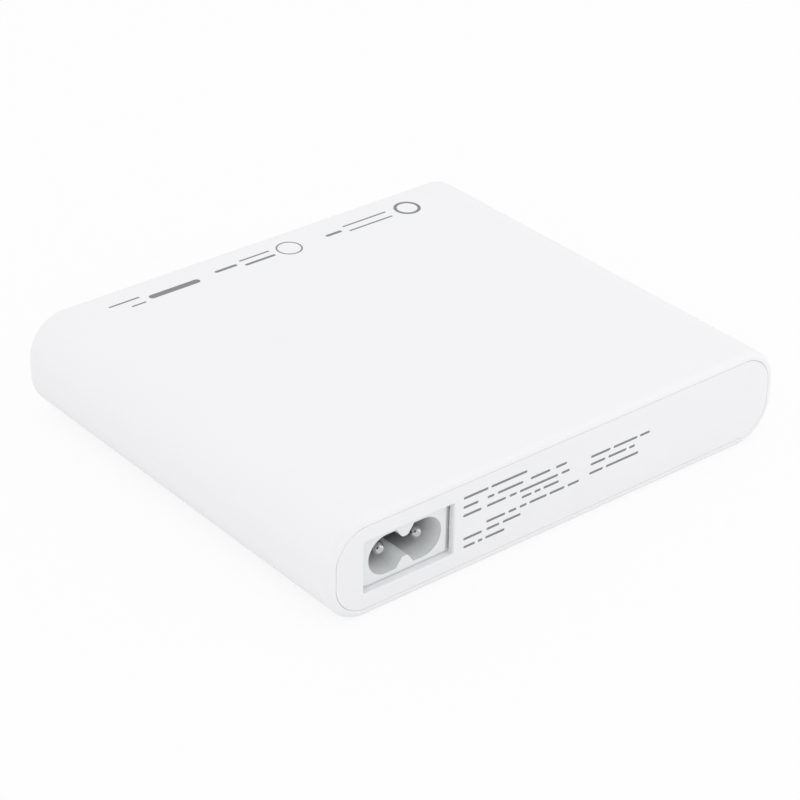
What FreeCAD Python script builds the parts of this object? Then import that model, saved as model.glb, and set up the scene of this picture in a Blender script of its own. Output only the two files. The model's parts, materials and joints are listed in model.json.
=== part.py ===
import FreeCAD, Part

import math
import os

# Flat desktop multi-port fast charger: a one-piece rounded sleeve closed by two end panels.
# Millimetres. The origin is the centre of the underside. +X is the side that the mains inlet is on,
# +Y points out of the rear panel with the inlet, -Y out of the front panel with the ports, and +Z is up.

V = FreeCAD.Vector

# Sleeve: one moulded tube, open at both ends
SLEEVE_WIDTH = 110.0
SLEEVE_DEPTH = 95.6
SLEEVE_HEIGHT = 20.5
SLEEVE_EDGE_RADIUS = 8.5
SLEEVE_WALL = 2.2
RIM_RADIUS = 1.4
LIP_THICKNESS = 1.65
LIP_EDGE_RADIUS = 0.15
RAIL_WIDTH = 2.4
RAIL_THICKNESS = 1.2

# End panels, each set in the sleeve's mouth and held by barbed hooks
PANEL_THICKNESS = 1.4
PANEL_SET_BACK = 0.05
PANEL_GAP = 0.05
PANEL_EDGE_RADIUS = 0.08
HOOK_SPACING = 40.0
HOOK_WIDTH = 8.0
HOOK_LENGTH = 4.0
HOOK_THICKNESS = 0.8
HOOK_GAP = 0.15
BARB_LENGTH = 1.6
BARB_BITE = 0.45
POCKET_GAP = 0.2

# Mains inlet: two round pins in a ribbed figure-8 cavity, seen through a window in the rear panel
INLET_SIDE_INSET = 8.35
INLET_WIDTH = 19.5
INLET_HEIGHT = 10.5
INLET_LENGTH = 13.5
INLET_CORNER_RADIUS = 1.1
INLET_EDGE_RADIUS = 0.5
INLET_SET_BACK = 1.3
INLET_SIDE_WALL = 1.45
INLET_TOP_WALL = 1.2
INLET_FLOOR = 2.0
WINDOW_SIDE_GAP = 0.53
WINDOW_TOP_GAP = 0.12
WINDOW_CORNER_RADIUS = 0.4
WINDOW_EDGE_RADIUS = 0.3
FLANGE_SET_BACK = 0.85
FLANGE_OVERLAP = 1.6
FLANGE_RISE = 0.7
FLANGE_THICKNESS = 1.2
RIB_NECK = 4.2
RIB_BASE_WIDTH = 4.0
RIB_TIP_WIDTH = 1.3
RIB_TIP_RADIUS = 0.9
PIN_PITCH = 8.6
PIN_DIAMETER = 2.4
PIN_TIP_DEPTH = 1.2
PIN_SHANK_DIAMETER = 2.0
PIN_BORE_GAP = 0.05
TAIL_WIDTH = 1.4
TAIL_THICKNESS = 1.0

# Boards, and the leads soldered through the main one
BOARD_THICKNESS = 1.2
BOARD_SIDE_GAP = 0.5
BOARD_END_GAP = 0.5
BOARD_RAIL_GAP = 0.1
LEAD_DIAMETER = 0.8
LEAD_HOLE_GAP = 0.1
LEAD_STICK_OUT = 0.6
PART_GAP = 1.2

# Output ports, in a row along the front panel
PORT_NAMES = ("usb_a_1", "usb_a_2", "usb_c_1", "usb_c_2")
PORT_SIDE_INSET = 22.0
PORT_LENGTH = 12.5
PORT_SET_BACK = 0.3
PORT_HOLE_GAP = 0.12
PORT_HOLE_CHAMFER = 0.35
PORT_BOARD_TOP_GAP = 1.35
PORT_SHEET = 0.3
PORT_FIT_GAP = 0.05
PORT_BLOCK_LENGTH = 3.0
CONTACT_TIP_GAP = 0.5
USB_A_MOUTH_WIDTH = 12.5
USB_A_MOUTH_HEIGHT = 5.12
USB_A_CORNER_RADIUS = 0.35
USB_A_TONGUE_SIDE_GAP = 0.7
USB_A_TONGUE_THICKNESS = 1.84
USB_A_TONGUE_DROP = 0.72
USB_A_TONGUE_SET_BACK = 1.0
USB_A_CONTACT_PLACES = (-3.5, -1.0, 1.0, 3.5)
USB_A_CONTACT_WIDTH = 1.0
USB_A_CONTACT_THICKNESS = 0.2
USB_C_MOUTH_WIDTH = 8.34
USB_C_MOUTH_HEIGHT = 2.56
USB_C_TONGUE_SIDE_GAP = 0.825
USB_C_TONGUE_THICKNESS = 0.7
USB_C_TONGUE_SET_BACK = 0.9
USB_C_CONTACT_COUNT = 12
USB_C_CONTACT_INSET = 0.595
USB_C_CONTACT_WIDTH = 0.28
USB_C_CONTACT_THICKNESS = 0.06

# Insulation and heat path, below and above the main board
FILM_SIDE_GAP = 2.0
FILM_OVERLAP = 3.0
FILM_THICKNESS = 0.25
LOWER_SPREADER_THICKNESS = 0.5
LOWER_PAD_THICKNESS = 0.85
LOWER_PAD_WIDTH = 22.0
LOWER_PAD_LENGTH = 10.0
UPPER_SPREADER_THICKNESS = 0.8
UPPER_SPREADER_GAP = 0.2
UPPER_PAD_THICKNESS = 1.1
UPPER_PAD_MARGIN = 2.0

# Mains side
FUSE_DIAMETER = 8.4
FUSE_HEIGHT = 7.7
FUSE_LEAD_PITCH = 5.0
FUSE_EDGE_RADIUS = 0.5
VARISTOR_DIAMETER = 8.5
VARISTOR_THICKNESS = 4.0
VARISTOR_EDGE_RADIUS = 1.2
DISC_STAND_OFF = 0.6
DISC_LEAD_PITCH = 5.0
X_CAPACITOR_WIDTH = 17.5
X_CAPACITOR_LENGTH = 7.5
X_CAPACITOR_HEIGHT = 9.5
X_CAPACITOR_EDGE_RADIUS = 0.6
X_CAPACITOR_LEAD_INSET = 1.25
CHOKE_OUTER_DIAMETER = 11.0
CHOKE_INNER_DIAMETER = 5.6
CHOKE_CORE_HEIGHT = 6.0
CHOKE_WINDING_THICKNESS = 1.2
CHOKE_WINDING_ANGLE = 140.0
CHOKE_WINDING_GAP = 0.1
CHOKE_LEAD_ANGLE = 62.0
BRIDGE_WIDTH = 14.0
BRIDGE_LENGTH = 3.5
BRIDGE_HEIGHT = 9.0
BRIDGE_CHAMFER = 2.0
BRIDGE_STAND_OFF = 0.8
BRIDGE_LEAD_COUNT = 4
BRIDGE_LEAD_PITCH = 3.6
BULK_COUNT = 3
BULK_DIAMETER = 9.5
BULK_LENGTH = 34.0
BULK_EDGE_RADIUS = 0.8
BULK_CRIMP_DEPTH = 0.5
BULK_CRIMP_RADIUS = 0.8
BULK_CRIMP_PLACE = 3.0
BULK_SIDE_GAP = 0.5
BULK_BOARD_GAP = 0.1
BULK_LEAD_PITCH = 4.5
BULK_LEAD_REACH = 2.4

# Wound parts on ferrite cores, and the output side
WOUND_WIDTH = 22.0
PFC_CHOKE_LENGTH = 18.0
TRANSFORMER_LENGTH = 24.0
CORE_PLATE = 2.2
CORE_LEG = 3.2
CORE_CENTRE_LEG = 7.0
WINDING_OVERHANG = 2.6
WINDING_GAP = 0.15
WINDING_CORNER_RADIUS = 2.0
WINDING_LEAD_PITCH = 8.0
CHIP_HEIGHT = 0.9
GAN_SIZE = 8.0
RECTIFIER_WIDTH = 6.0
RECTIFIER_LENGTH = 5.0
CONTROL_CHIP_SIZE = 5.0
CONTROL_CHIP_COUNT = 2
OPTOCOUPLER_WIDTH = 4.4
OPTOCOUPLER_LENGTH = 6.5
OPTOCOUPLER_HEIGHT = 2.2
Y_CAPACITOR_DIAMETER = 7.5
Y_CAPACITOR_THICKNESS = 3.6
Y_CAPACITOR_EDGE_RADIUS = 1.0
OUTPUT_CAPACITOR_COUNT = 3
OUTPUT_CAPACITOR_DIAMETER = 6.3
OUTPUT_CAPACITOR_HEIGHT = 9.0
OUTPUT_CAPACITOR_BASE_HEIGHT = 1.2
OUTPUT_CAPACITOR_EDGE_RADIUS = 0.5
INDUCTOR_SIZE = 7.0
INDUCTOR_HEIGHT = 4.5
INDUCTOR_EDGE_RADIUS = 0.6

# Heights, from the underside up
EDGE_RADIUS = min(SLEEVE_EDGE_RADIUS, SLEEVE_HEIGHT / 2)
MID_Z = SLEEVE_HEIGHT / 2
FLOOR_Z = SLEEVE_WALL
CEILING_Z = SLEEVE_HEIGHT - SLEEVE_WALL
FILM_BOTTOM = FLOOR_Z + LOWER_SPREADER_THICKNESS
FILM_TOP = FILM_BOTTOM + FILM_THICKNESS
BOARD_BOTTOM = FILM_TOP + LOWER_PAD_THICKNESS
BOARD_TOP = BOARD_BOTTOM + BOARD_THICKNESS
INLET_Z = BOARD_TOP + INLET_HEIGHT / 2
UPPER_SPREADER_BOTTOM = CEILING_Z - UPPER_SPREADER_GAP - UPPER_SPREADER_THICKNESS
CORE_TOP = UPPER_SPREADER_BOTTOM - UPPER_PAD_THICKNESS

# Places along the depth, as distances from the middle
HALF_DEPTH = SLEEVE_DEPTH / 2
PANEL_FACE = HALF_DEPTH - PANEL_SET_BACK
PANEL_BACK = PANEL_FACE - PANEL_THICKNESS
HOOK_END = PANEL_BACK - HOOK_LENGTH
ROW_END = HOOK_END - PART_GAP
BOARD_END = PANEL_BACK - BOARD_END_GAP
INLET_FACE = PANEL_FACE - INLET_SET_BACK
INLET_BACK = INLET_FACE - INLET_LENGTH
CAVITY_FLOOR = INLET_BACK + INLET_FLOOR
TAIL_END = INLET_BACK - TAIL_THICKNESS
PORT_MOUTH = PANEL_FACE - PORT_SET_BACK
PORT_END = PORT_MOUTH - PORT_LENGTH

# Places of the parts on the main board, row by row from the inlet's side
BOARD_REACH = (
    SLEEVE_WIDTH / 2
    - EDGE_RADIUS
    + math.sqrt((EDGE_RADIUS - SLEEVE_WALL) ** 2 - max(EDGE_RADIUS - BOARD_BOTTOM, 0) ** 2)
    - BOARD_SIDE_GAP
)
RAIL_EDGE = BOARD_REACH - RAIL_WIDTH
INLET_X = SLEEVE_WIDTH / 2 - INLET_SIDE_INSET - INLET_WIDTH / 2
FUSE_ROW = max(FUSE_DIAMETER, VARISTOR_DIAMETER)
FUSE_X = INLET_X + INLET_WIDTH / 2 - FUSE_DIAMETER / 2
FUSE_Y = TAIL_END - PART_GAP - FUSE_ROW / 2
VARISTOR_X = FUSE_X - FUSE_DIAMETER / 2 - PART_GAP - VARISTOR_THICKNESS / 2
X_CAPACITOR_Y = FUSE_Y - FUSE_ROW / 2 - PART_GAP - X_CAPACITOR_LENGTH / 2
CHOKE_REACH = CHOKE_OUTER_DIAMETER / 2 + CHOKE_WINDING_GAP + CHOKE_WINDING_THICKNESS
CHOKE_Y = X_CAPACITOR_Y - X_CAPACITOR_LENGTH / 2 - PART_GAP - CHOKE_REACH
BRIDGE_Y = CHOKE_Y - CHOKE_REACH - PART_GAP - BRIDGE_LENGTH / 2
BULK_FIRST_X = INLET_X - INLET_WIDTH / 2 - FLANGE_OVERLAP - PART_GAP - BULK_DIAMETER / 2
BULK_PLACES = [BULK_FIRST_X - count * (BULK_DIAMETER + BULK_SIDE_GAP) for count in range(BULK_COUNT)]
BULK_FRONT = ROW_END - BULK_LENGTH
GAN_X = sum(BULK_PLACES) / BULK_COUNT
GAN_Y = BULK_FRONT - BULK_LEAD_REACH - 2 * PART_GAP - GAN_SIZE / 2
WOUND_X = BULK_PLACES[-1] - BULK_DIAMETER / 2 - PART_GAP - WOUND_WIDTH / 2
TRANSFORMER_REAR = ROW_END - PFC_CHOKE_LENGTH - PART_GAP
TRANSFORMER_FRONT = TRANSFORMER_REAR - TRANSFORMER_LENGTH
SMALL_ROW_WIDTH = max(
    OUTPUT_CAPACITOR_DIAMETER, CONTROL_CHIP_SIZE, OPTOCOUPLER_WIDTH, Y_CAPACITOR_THICKNESS
)
SMALL_ROW_X = WOUND_X - WOUND_WIDTH / 2 - PART_GAP - SMALL_ROW_WIDTH / 2
PORT_REACH = SLEEVE_WIDTH / 2 - PORT_SIDE_INSET
PORT_PITCH = 2 * PORT_REACH / (len(PORT_NAMES) - 1)
PORT_PLACES = [count * PORT_PITCH - PORT_REACH for count in range(len(PORT_NAMES))]
INDUCTOR_Y = -PORT_END + BOARD_THICKNESS + PART_GAP + INDUCTOR_SIZE / 2


def block(x, y, z):
    """A box between two values along each axis."""
    size = [abs(end - start) for start, end in (x, y, z)]
    return Part.makeBox(*size, V(min(x), min(y), min(z)))


def about(centre, size):
    """The two values that lie half a size either side of a centre."""
    return (centre - size / 2, centre + size / 2)


def standing_block(x, y, width, length, height, bottom=BOARD_TOP):
    """A box that stands on a level, given by its middle and its size."""
    return block(about(x, width), about(y, length), (bottom, bottom + height))


def rounded_bar(width, height, radius, y, centre_x=0.0, centre_z=MID_Z):
    """A rounded rectangle in XZ, run along Y between two values."""
    start = min(y)

    def corner_arc(side_x, side_z, first_angle):
        points = []
        for angle in (first_angle, first_angle + 45, first_angle + 90):
            turn = math.radians(angle)
            x = centre_x + side_x * (width / 2 - radius) + radius * math.cos(turn)
            z = centre_z + side_z * (height / 2 - radius) + radius * math.sin(turn)
            points.append(V(x, start, z))
        return points

    arcs = [corner_arc(1, 1, 0), corner_arc(-1, 1, 90), corner_arc(-1, -1, 180), corner_arc(1, -1, 270)]
    edges = []
    for arc, following in zip(arcs, arcs[1:] + arcs[:1]):
        edges.append(Part.Arc(*arc).toShape())
        if (following[0] - arc[2]).Length > 1e-6:
            edges.append(Part.makeLine(arc[2], following[0]))
    return Part.Face(Part.Wire(edges)).extrude(V(0, max(y) - start, 0))


def prism(points, direction):
    """A flat outline, given by its corners, run along a direction."""
    return Part.Face(Part.makePolygon(points + points[:1])).extrude(direction)


def edges_at(shape, axis, value):
    """The edges of a shape that lie in one plane across an axis."""
    found = []
    for edge in shape.Edges:
        points = [corner.Point for corner in edge.Vertexes] + [edge.CenterOfMass]
        if all(abs(getattr(point, axis) - value) < 1e-5 for point in points):
            found.append(edge)
    return found


def edges_along(shape, axis):
    """The straight edges of a shape that run along an axis."""
    straight = [edge for edge in shape.Edges if isinstance(edge.Curve, Part.Line)]
    return [edge for edge in straight if abs(abs(edge.Curve.Direction.dot(axis)) - 1) < 1e-6]


def lead(x, y, top):
    """A round wire that goes from a height down through the main board."""
    bottom = BOARD_BOTTOM - LEAD_STICK_OUT
    return Part.makeCylinder(LEAD_DIAMETER / 2, top - bottom, V(x, y, bottom))


def hook_places():
    """Each panel hook's middle across the width, the wall face it lies along, and the way into it."""
    walls = ((CEILING_Z, 1), (FLOOR_Z, -1))
    return [(x, wall, into) for x in about(0, HOOK_SPACING) for wall, into in walls]


def make_sleeve():
    """The tube with its rounded mouths, panel seats, board rails and hook pockets."""
    outer = rounded_bar(SLEEVE_WIDTH, SLEEVE_HEIGHT, EDGE_RADIUS, (-HALF_DEPTH, HALF_DEPTH))
    mouths = edges_at(outer, "y", HALF_DEPTH) + edges_at(outer, "y", -HALF_DEPTH)
    outer = outer.makeFillet(RIM_RADIUS, mouths)

    def inside(inset, y):
        return rounded_bar(SLEEVE_WIDTH - 2 * inset, SLEEVE_HEIGHT - 2 * inset, EDGE_RADIUS - inset, y)

    room = inside(SLEEVE_WALL, (-PANEL_BACK, PANEL_BACK))
    hollows = [room]
    for end in (-1, 1):
        hollows.append(inside(LIP_THICKNESS, (end * PANEL_BACK, end * HALF_DEPTH)))
        along = (end * (HOOK_END - POCKET_GAP), end * (HOOK_END + BARB_LENGTH + POCKET_GAP))
        for x, wall, into in hook_places():
            deep = (wall, wall + into * (BARB_BITE + POCKET_GAP))
            hollows.append(block(about(x, HOOK_WIDTH + 2 * POCKET_GAP), along, deep))
    rails = []
    for side in (-1, 1):
        across = (side * RAIL_EDGE, side * SLEEVE_WIDTH / 2)
        over = BOARD_TOP + BOARD_RAIL_GAP
        for level in ((0, BOARD_BOTTOM), (over, over + RAIL_THICKNESS)):
            rails.append(block(across, (-HOOK_END, HOOK_END), level).common(room))
    sleeve = outer.cut(hollows).fuse(rails).removeSplitter()
    return sleeve.makeFillet(LIP_EDGE_RADIUS, lip_edges(sleeve))


def lip_edges(sleeve):
    """The inner edges of the sleeve's two mouths."""
    reach, low = SLEEVE_WIDTH / 2 - LIP_THICKNESS, LIP_THICKNESS
    mouth = FreeCAD.BoundBox(-reach, -HALF_DEPTH, low, reach, HALF_DEPTH, SLEEVE_HEIGHT - low)
    mouth.enlarge(1e-4)
    edges = edges_at(sleeve, "y", HALF_DEPTH) + edges_at(sleeve, "y", -HALF_DEPTH)
    return [edge for edge in edges if mouth.isInside(edge.BoundBox)]


def make_panel(end):
    """A plain end panel with its four barbed hooks. end is 1 at the rear and -1 at the front."""
    inset = LIP_THICKNESS + PANEL_GAP
    width, height = SLEEVE_WIDTH - 2 * inset, SLEEVE_HEIGHT - 2 * inset
    plate = rounded_bar(width, height, EDGE_RADIUS - inset, (end * PANEL_BACK, end * PANEL_FACE))
    plate = plate.makeFillet(PANEL_EDGE_RADIUS, edges_at(plate, "y", end * PANEL_FACE))
    return plate.fuse([make_hook(x, wall, into, end) for x, wall, into in hook_places()])


def make_hook(x, wall, into, end):
    """One flat hook behind a panel, with a barb that catches in the sleeve's pocket."""
    outer_face = wall - into * HOOK_GAP
    across = about(x, HOOK_WIDTH)
    level = (outer_face - into * HOOK_THICKNESS, outer_face)
    tongue = block(across, (end * HOOK_END, end * PANEL_BACK), level)
    catch = end * (HOOK_END + BARB_LENGTH)
    barb = [
        V(across[0], end * HOOK_END, outer_face),
        V(across[0], catch, outer_face),
        V(across[0], catch, wall + into * BARB_BITE),
    ]
    return tongue.fuse(prism(barb, V(HOOK_WIDTH, 0, 0)))


def pierce_panel(panel, end, holes):
    """A panel with holes cut through it, and the edges of those holes on its face."""
    face = end * PANEL_FACE
    outline = [edge.CenterOfMass for edge in edges_at(panel, "y", face)]
    panel = panel.cut(holes)
    edges = edges_at(panel, "y", face)
    return panel, [edge for edge in edges if all((edge.CenterOfMass - old).Length > 1e-5 for old in outline)]


def make_rear_panel():
    """The rear panel, with the round-edged window that the inlet is seen through."""
    width, height = INLET_WIDTH + 2 * WINDOW_SIDE_GAP, INLET_HEIGHT + 2 * WINDOW_TOP_GAP
    window = rounded_bar(width, height, WINDOW_CORNER_RADIUS, (PANEL_BACK, PANEL_FACE), INLET_X, INLET_Z)
    panel, rim = pierce_panel(make_panel(1), 1, [window])
    return panel.makeFillet(WINDOW_EDGE_RADIUS, rim)


def make_inlet_body():
    """The inlet's moulding: round-edged body, flange, ribbed cavity and the bores for the pins."""
    along = (INLET_BACK, INLET_FACE)
    body = rounded_bar(INLET_WIDTH, INLET_HEIGHT, INLET_CORNER_RADIUS, along, INLET_X, INLET_Z)
    body = body.makeFillet(INLET_EDGE_RADIUS, edges_at(body, "y", INLET_FACE))
    flange_face = PANEL_BACK - FLANGE_SET_BACK
    flange = block(
        about(INLET_X, INLET_WIDTH + 2 * FLANGE_OVERLAP),
        (flange_face - FLANGE_THICKNESS, flange_face),
        (BOARD_TOP, BOARD_TOP + INLET_HEIGHT + FLANGE_RISE),
    )
    width, height = INLET_WIDTH - 2 * INLET_SIDE_WALL, INLET_HEIGHT - 2 * INLET_TOP_WALL
    cavity = rounded_bar(width, height, height / 2, (CAVITY_FLOOR, INLET_FACE), INLET_X, INLET_Z)
    hollows = [cavity.cut([make_inlet_rib(side) for side in (-1, 1)])]
    for x in about(INLET_X, PIN_PITCH):
        radius = PIN_SHANK_DIAMETER / 2 + PIN_BORE_GAP
        hollows.append(Part.makeCylinder(radius, INLET_FLOOR, V(x, INLET_BACK, INLET_Z), V(0, 1, 0)))
    return body.fuse(flange).cut(hollows).removeSplitter()


def make_inlet_rib(side):
    """One of the two round-tipped ribs, above and below, that pinch the cavity to a figure 8."""
    outer = INLET_Z + side * INLET_HEIGHT / 2
    root = outer - side * INLET_TOP_WALL
    tip = INLET_Z + side * RIB_NECK / 2
    left, right = about(INLET_X, RIB_BASE_WIDTH)
    tip_left, tip_right = about(INLET_X, RIB_TIP_WIDTH)
    corners = [(left, outer), (left, root), (tip_left, tip)]
    corners += [(tip_right, tip), (right, root), (right, outer)]
    rib = prism([V(x, CAVITY_FLOOR, z) for x, z in corners], V(0, INLET_FACE - CAVITY_FLOOR, 0))
    tip_edges = [edge for edge in edges_along(rib, V(0, 1, 0)) if abs(edge.CenterOfMass.z - tip) < 1e-5]
    return rib.makeFillet(RIB_TIP_RADIUS, tip_edges)


def make_inlet_pin(x):
    """A round pin with a domed tip, its shank through the inlet's floor, and its tail through the board."""
    radius = PIN_DIAMETER / 2
    shank = PIN_SHANK_DIAMETER / 2
    tip = INLET_FACE - PIN_TIP_DEPTH
    dome_base = tip - radius
    halfway = radius * math.sqrt(0.5)
    dome = Part.Arc(
        V(x, tip, INLET_Z),
        V(x + halfway, dome_base + halfway, INLET_Z),
        V(x + radius, dome_base, INLET_Z),
    )
    steps = [(radius, dome_base), (radius, CAVITY_FLOOR), (shank, CAVITY_FLOOR), (shank, INLET_BACK)]
    steps += [(0, INLET_BACK), (0, tip)]
    profile = [dome.toShape()] + Part.makePolygon([V(x + out, y, INLET_Z) for out, y in steps]).Edges
    pin = Part.Face(Part.Wire(profile)).revolve(V(x, 0, INLET_Z), V(0, 1, 0), 360)
    down = (BOARD_BOTTOM - LEAD_STICK_OUT, INLET_Z + radius)
    return pin.fuse(block(about(x, TAIL_WIDTH), (TAIL_END, INLET_BACK), down))


def make_main_board(lead_places):
    """The board that lies in the sleeve's rails, drilled for every lead and slotted for the pin tails."""
    board = block((-BOARD_REACH, BOARD_REACH), (-BOARD_END, BOARD_END), (BOARD_BOTTOM, BOARD_TOP))
    radius = LEAD_DIAMETER / 2 + LEAD_HOLE_GAP
    holes = [Part.makeCylinder(radius, BOARD_THICKNESS, V(x, y, BOARD_BOTTOM)) for x, y in lead_places]
    tail = (TAIL_END - LEAD_HOLE_GAP, INLET_BACK + LEAD_HOLE_GAP)
    for x in about(INLET_X, PIN_PITCH):
        holes.append(block(about(x, TAIL_WIDTH + 2 * LEAD_HOLE_GAP), tail, (BOARD_BOTTOM, BOARD_TOP)))
    return board.cut(holes)


def make_port_board():
    """The upright board that carries the ports, standing on the main board between the rails."""
    reach = RAIL_EDGE - PART_GAP
    along = (-PORT_END, -PORT_END + BOARD_THICKNESS)
    return block((-reach, reach), along, (BOARD_TOP, CEILING_Z - PORT_BOARD_TOP_GAP))


def port_mouth(name):
    """Width, height and corner radius of a port's mouth."""
    if name.startswith("usb_a"):
        return USB_A_MOUTH_WIDTH, USB_A_MOUTH_HEIGHT, USB_A_CORNER_RADIUS
    return USB_C_MOUTH_WIDTH, USB_C_MOUTH_HEIGHT, USB_C_MOUTH_HEIGHT / 2


def port_bar(name, x, grow, y):
    """A port's mouth, grown by a margin all round, run along Y between two values."""
    width, height, radius = port_mouth(name)
    return rounded_bar(width + 2 * grow, height + 2 * grow, radius + grow, y, x)


def make_front_panel():
    """The front panel, with a chamfered hole round each port."""
    holes = []
    for name, x in zip(PORT_NAMES, PORT_PLACES):
        holes.append(port_bar(name, x, PORT_SHEET + PORT_HOLE_GAP, (-PANEL_FACE, -PANEL_BACK)))
    panel, rims = pierce_panel(make_panel(-1), -1, holes)
    return panel.makeChamfer(PORT_HOLE_CHAMFER, rims)


def make_port_shell(name, x):
    """The folded sheet-metal tube of a port, open at the mouth."""
    along = (-PORT_MOUTH, -PORT_END)
    return port_bar(name, x, PORT_SHEET, along).cut(port_bar(name, x, 0, along))


def tongue_size(name):
    """Width, lowest level and highest level of a port's tongue, and where its tip is along the depth."""
    if name.startswith("usb_a"):
        top = MID_Z + USB_A_MOUTH_HEIGHT / 2 - USB_A_TONGUE_DROP
        width = USB_A_MOUTH_WIDTH - 2 * USB_A_TONGUE_SIDE_GAP
        return width, top - USB_A_TONGUE_THICKNESS, top, -PORT_MOUTH + USB_A_TONGUE_SET_BACK
    bottom, top = about(MID_Z, USB_C_TONGUE_THICKNESS)
    return USB_C_MOUTH_WIDTH - 2 * USB_C_TONGUE_SIDE_GAP, bottom, top, -PORT_MOUTH + USB_C_TONGUE_SET_BACK


def make_port_insulator(name, x):
    """The moulded block that closes the back of a port's tube, and the tongue that stands out of it."""
    width, bottom, top, tip = tongue_size(name)
    face = -PORT_END - PORT_BLOCK_LENGTH
    tongue = block(about(x, width), (tip, face), (bottom, top))
    return port_bar(name, x, -PORT_FIT_GAP, (face, -PORT_END)).fuse(tongue)


def make_port_contacts(name, x):
    """The contact strips of a port, each a solid: under its tongue, or on both faces of a thin one."""
    tongue_width, bottom, top, tip = tongue_size(name)
    along = (tip + CONTACT_TIP_GAP, -PORT_END - PORT_BLOCK_LENGTH)
    if name.startswith("usb_a"):
        width, places = USB_A_CONTACT_WIDTH, USB_A_CONTACT_PLACES
        levels = [(bottom - USB_A_CONTACT_THICKNESS, bottom)]
    else:
        first = USB_C_CONTACT_INSET - tongue_width / 2
        step = -2 * first / (USB_C_CONTACT_COUNT - 1)
        width, places = USB_C_CONTACT_WIDTH, [first + count * step for count in range(USB_C_CONTACT_COUNT)]
        levels = [(bottom - USB_C_CONTACT_THICKNESS, bottom), (top, top + USB_C_CONTACT_THICKNESS)]
    strips = []
    for place in places:
        strips += [block(about(x + place, width), along, level) for level in levels]
    return Part.makeCompound(strips)


def make_fuse():
    """A round radial fuse, and its lead places."""
    can = Part.makeCylinder(FUSE_DIAMETER / 2, FUSE_HEIGHT, V(FUSE_X, FUSE_Y, BOARD_TOP))
    can = can.makeFillet(FUSE_EDGE_RADIUS, edges_at(can, "z", BOARD_TOP + FUSE_HEIGHT))
    places = [(FUSE_X, y) for y in about(FUSE_Y, FUSE_LEAD_PITCH)]
    return can.fuse([lead(*place, BOARD_TOP + FUSE_HEIGHT / 2) for place in places]), places


def make_disc(x, y, diameter, thickness, edge_radius):
    """A dipped disc standing on edge across X, on two leads, and its lead places."""
    centre_z = BOARD_TOP + DISC_STAND_OFF + diameter / 2
    near, far = about(x, thickness)
    disc = Part.makeCylinder(diameter / 2, thickness, V(near, y, centre_z), V(1, 0, 0))
    disc = disc.makeFillet(edge_radius, edges_at(disc, "x", near) + edges_at(disc, "x", far))
    places = [(x, place) for place in about(y, DISC_LEAD_PITCH)]
    return disc.fuse([lead(*place, centre_z) for place in places]), places


def make_x_capacitor():
    """The boxed film capacitor across the mains, and its lead places."""
    box = standing_block(INLET_X, X_CAPACITOR_Y, X_CAPACITOR_WIDTH, X_CAPACITOR_LENGTH, X_CAPACITOR_HEIGHT)
    box = box.makeFillet(X_CAPACITOR_EDGE_RADIUS, edges_at(box, "z", BOARD_TOP + X_CAPACITOR_HEIGHT))
    places = [(x, X_CAPACITOR_Y) for x in about(INLET_X, X_CAPACITOR_WIDTH - 2 * X_CAPACITOR_LEAD_INSET)]
    return box.fuse([lead(*place, BOARD_TOP + X_CAPACITOR_HEIGHT / 2) for place in places]), places


def make_line_choke():
    """The ring core and its two windings, lying flat on the board, and the four lead places."""
    bottom = BOARD_TOP + CHOKE_WINDING_THICKNESS + CHOKE_WINDING_GAP
    centre, upward = V(INLET_X, CHOKE_Y, bottom), V(0, 0, 1)
    core = Part.makeCylinder(CHOKE_OUTER_DIAMETER / 2, CHOKE_CORE_HEIGHT, centre)
    core = core.cut(Part.makeCylinder(CHOKE_INNER_DIAMETER / 2, CHOKE_CORE_HEIGHT, centre))

    def section(grow):
        near, far = CHOKE_INNER_DIAMETER / 2 - grow, CHOKE_OUTER_DIAMETER / 2 + grow
        low, high = bottom - grow, bottom + CHOKE_CORE_HEIGHT + grow
        corners = [(near, low), (far, low), (far, high), (near, high), (near, low)]
        return Part.Face(Part.makePolygon([V(INLET_X + x, CHOKE_Y, z) for x, z in corners]))

    turns = section(CHOKE_WINDING_GAP + CHOKE_WINDING_THICKNESS).cut(section(CHOKE_WINDING_GAP))
    lead_reach = CHOKE_REACH - CHOKE_WINDING_THICKNESS / 2
    coils, places = [], []
    for middle in (0, 180):
        coil = turns.revolve(centre, upward, CHOKE_WINDING_ANGLE)
        coil.rotate(centre, upward, middle - CHOKE_WINDING_ANGLE / 2)
        ends = []
        for angle in (middle - CHOKE_LEAD_ANGLE, middle + CHOKE_LEAD_ANGLE):
            turn = math.radians(angle)
            ends.append((INLET_X + lead_reach * math.cos(turn), CHOKE_Y + lead_reach * math.sin(turn)))
        coils.append(coil.fuse([lead(*place, bottom) for place in ends]))
        places += ends
    return core, Part.makeCompound(coils), places


def make_bridge():
    """The upright in-line bridge rectifier with its cut corner, and its lead places."""
    left, right = about(INLET_X, BRIDGE_WIDTH)
    bottom = BOARD_TOP + BRIDGE_STAND_OFF
    top = bottom + BRIDGE_HEIGHT
    corners = [(left, bottom), (right, bottom), (right, top)]
    corners += [(left + BRIDGE_CHAMFER, top), (left, top - BRIDGE_CHAMFER)]
    body = prism([V(x, BRIDGE_Y - BRIDGE_LENGTH / 2, z) for x, z in corners], V(0, BRIDGE_LENGTH, 0))
    first = INLET_X - (BRIDGE_LEAD_COUNT - 1) / 2 * BRIDGE_LEAD_PITCH
    places = [(first + count * BRIDGE_LEAD_PITCH, BRIDGE_Y) for count in range(BRIDGE_LEAD_COUNT)]
    return body.fuse([lead(*place, bottom + BRIDGE_HEIGHT / 2) for place in places]), places


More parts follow.
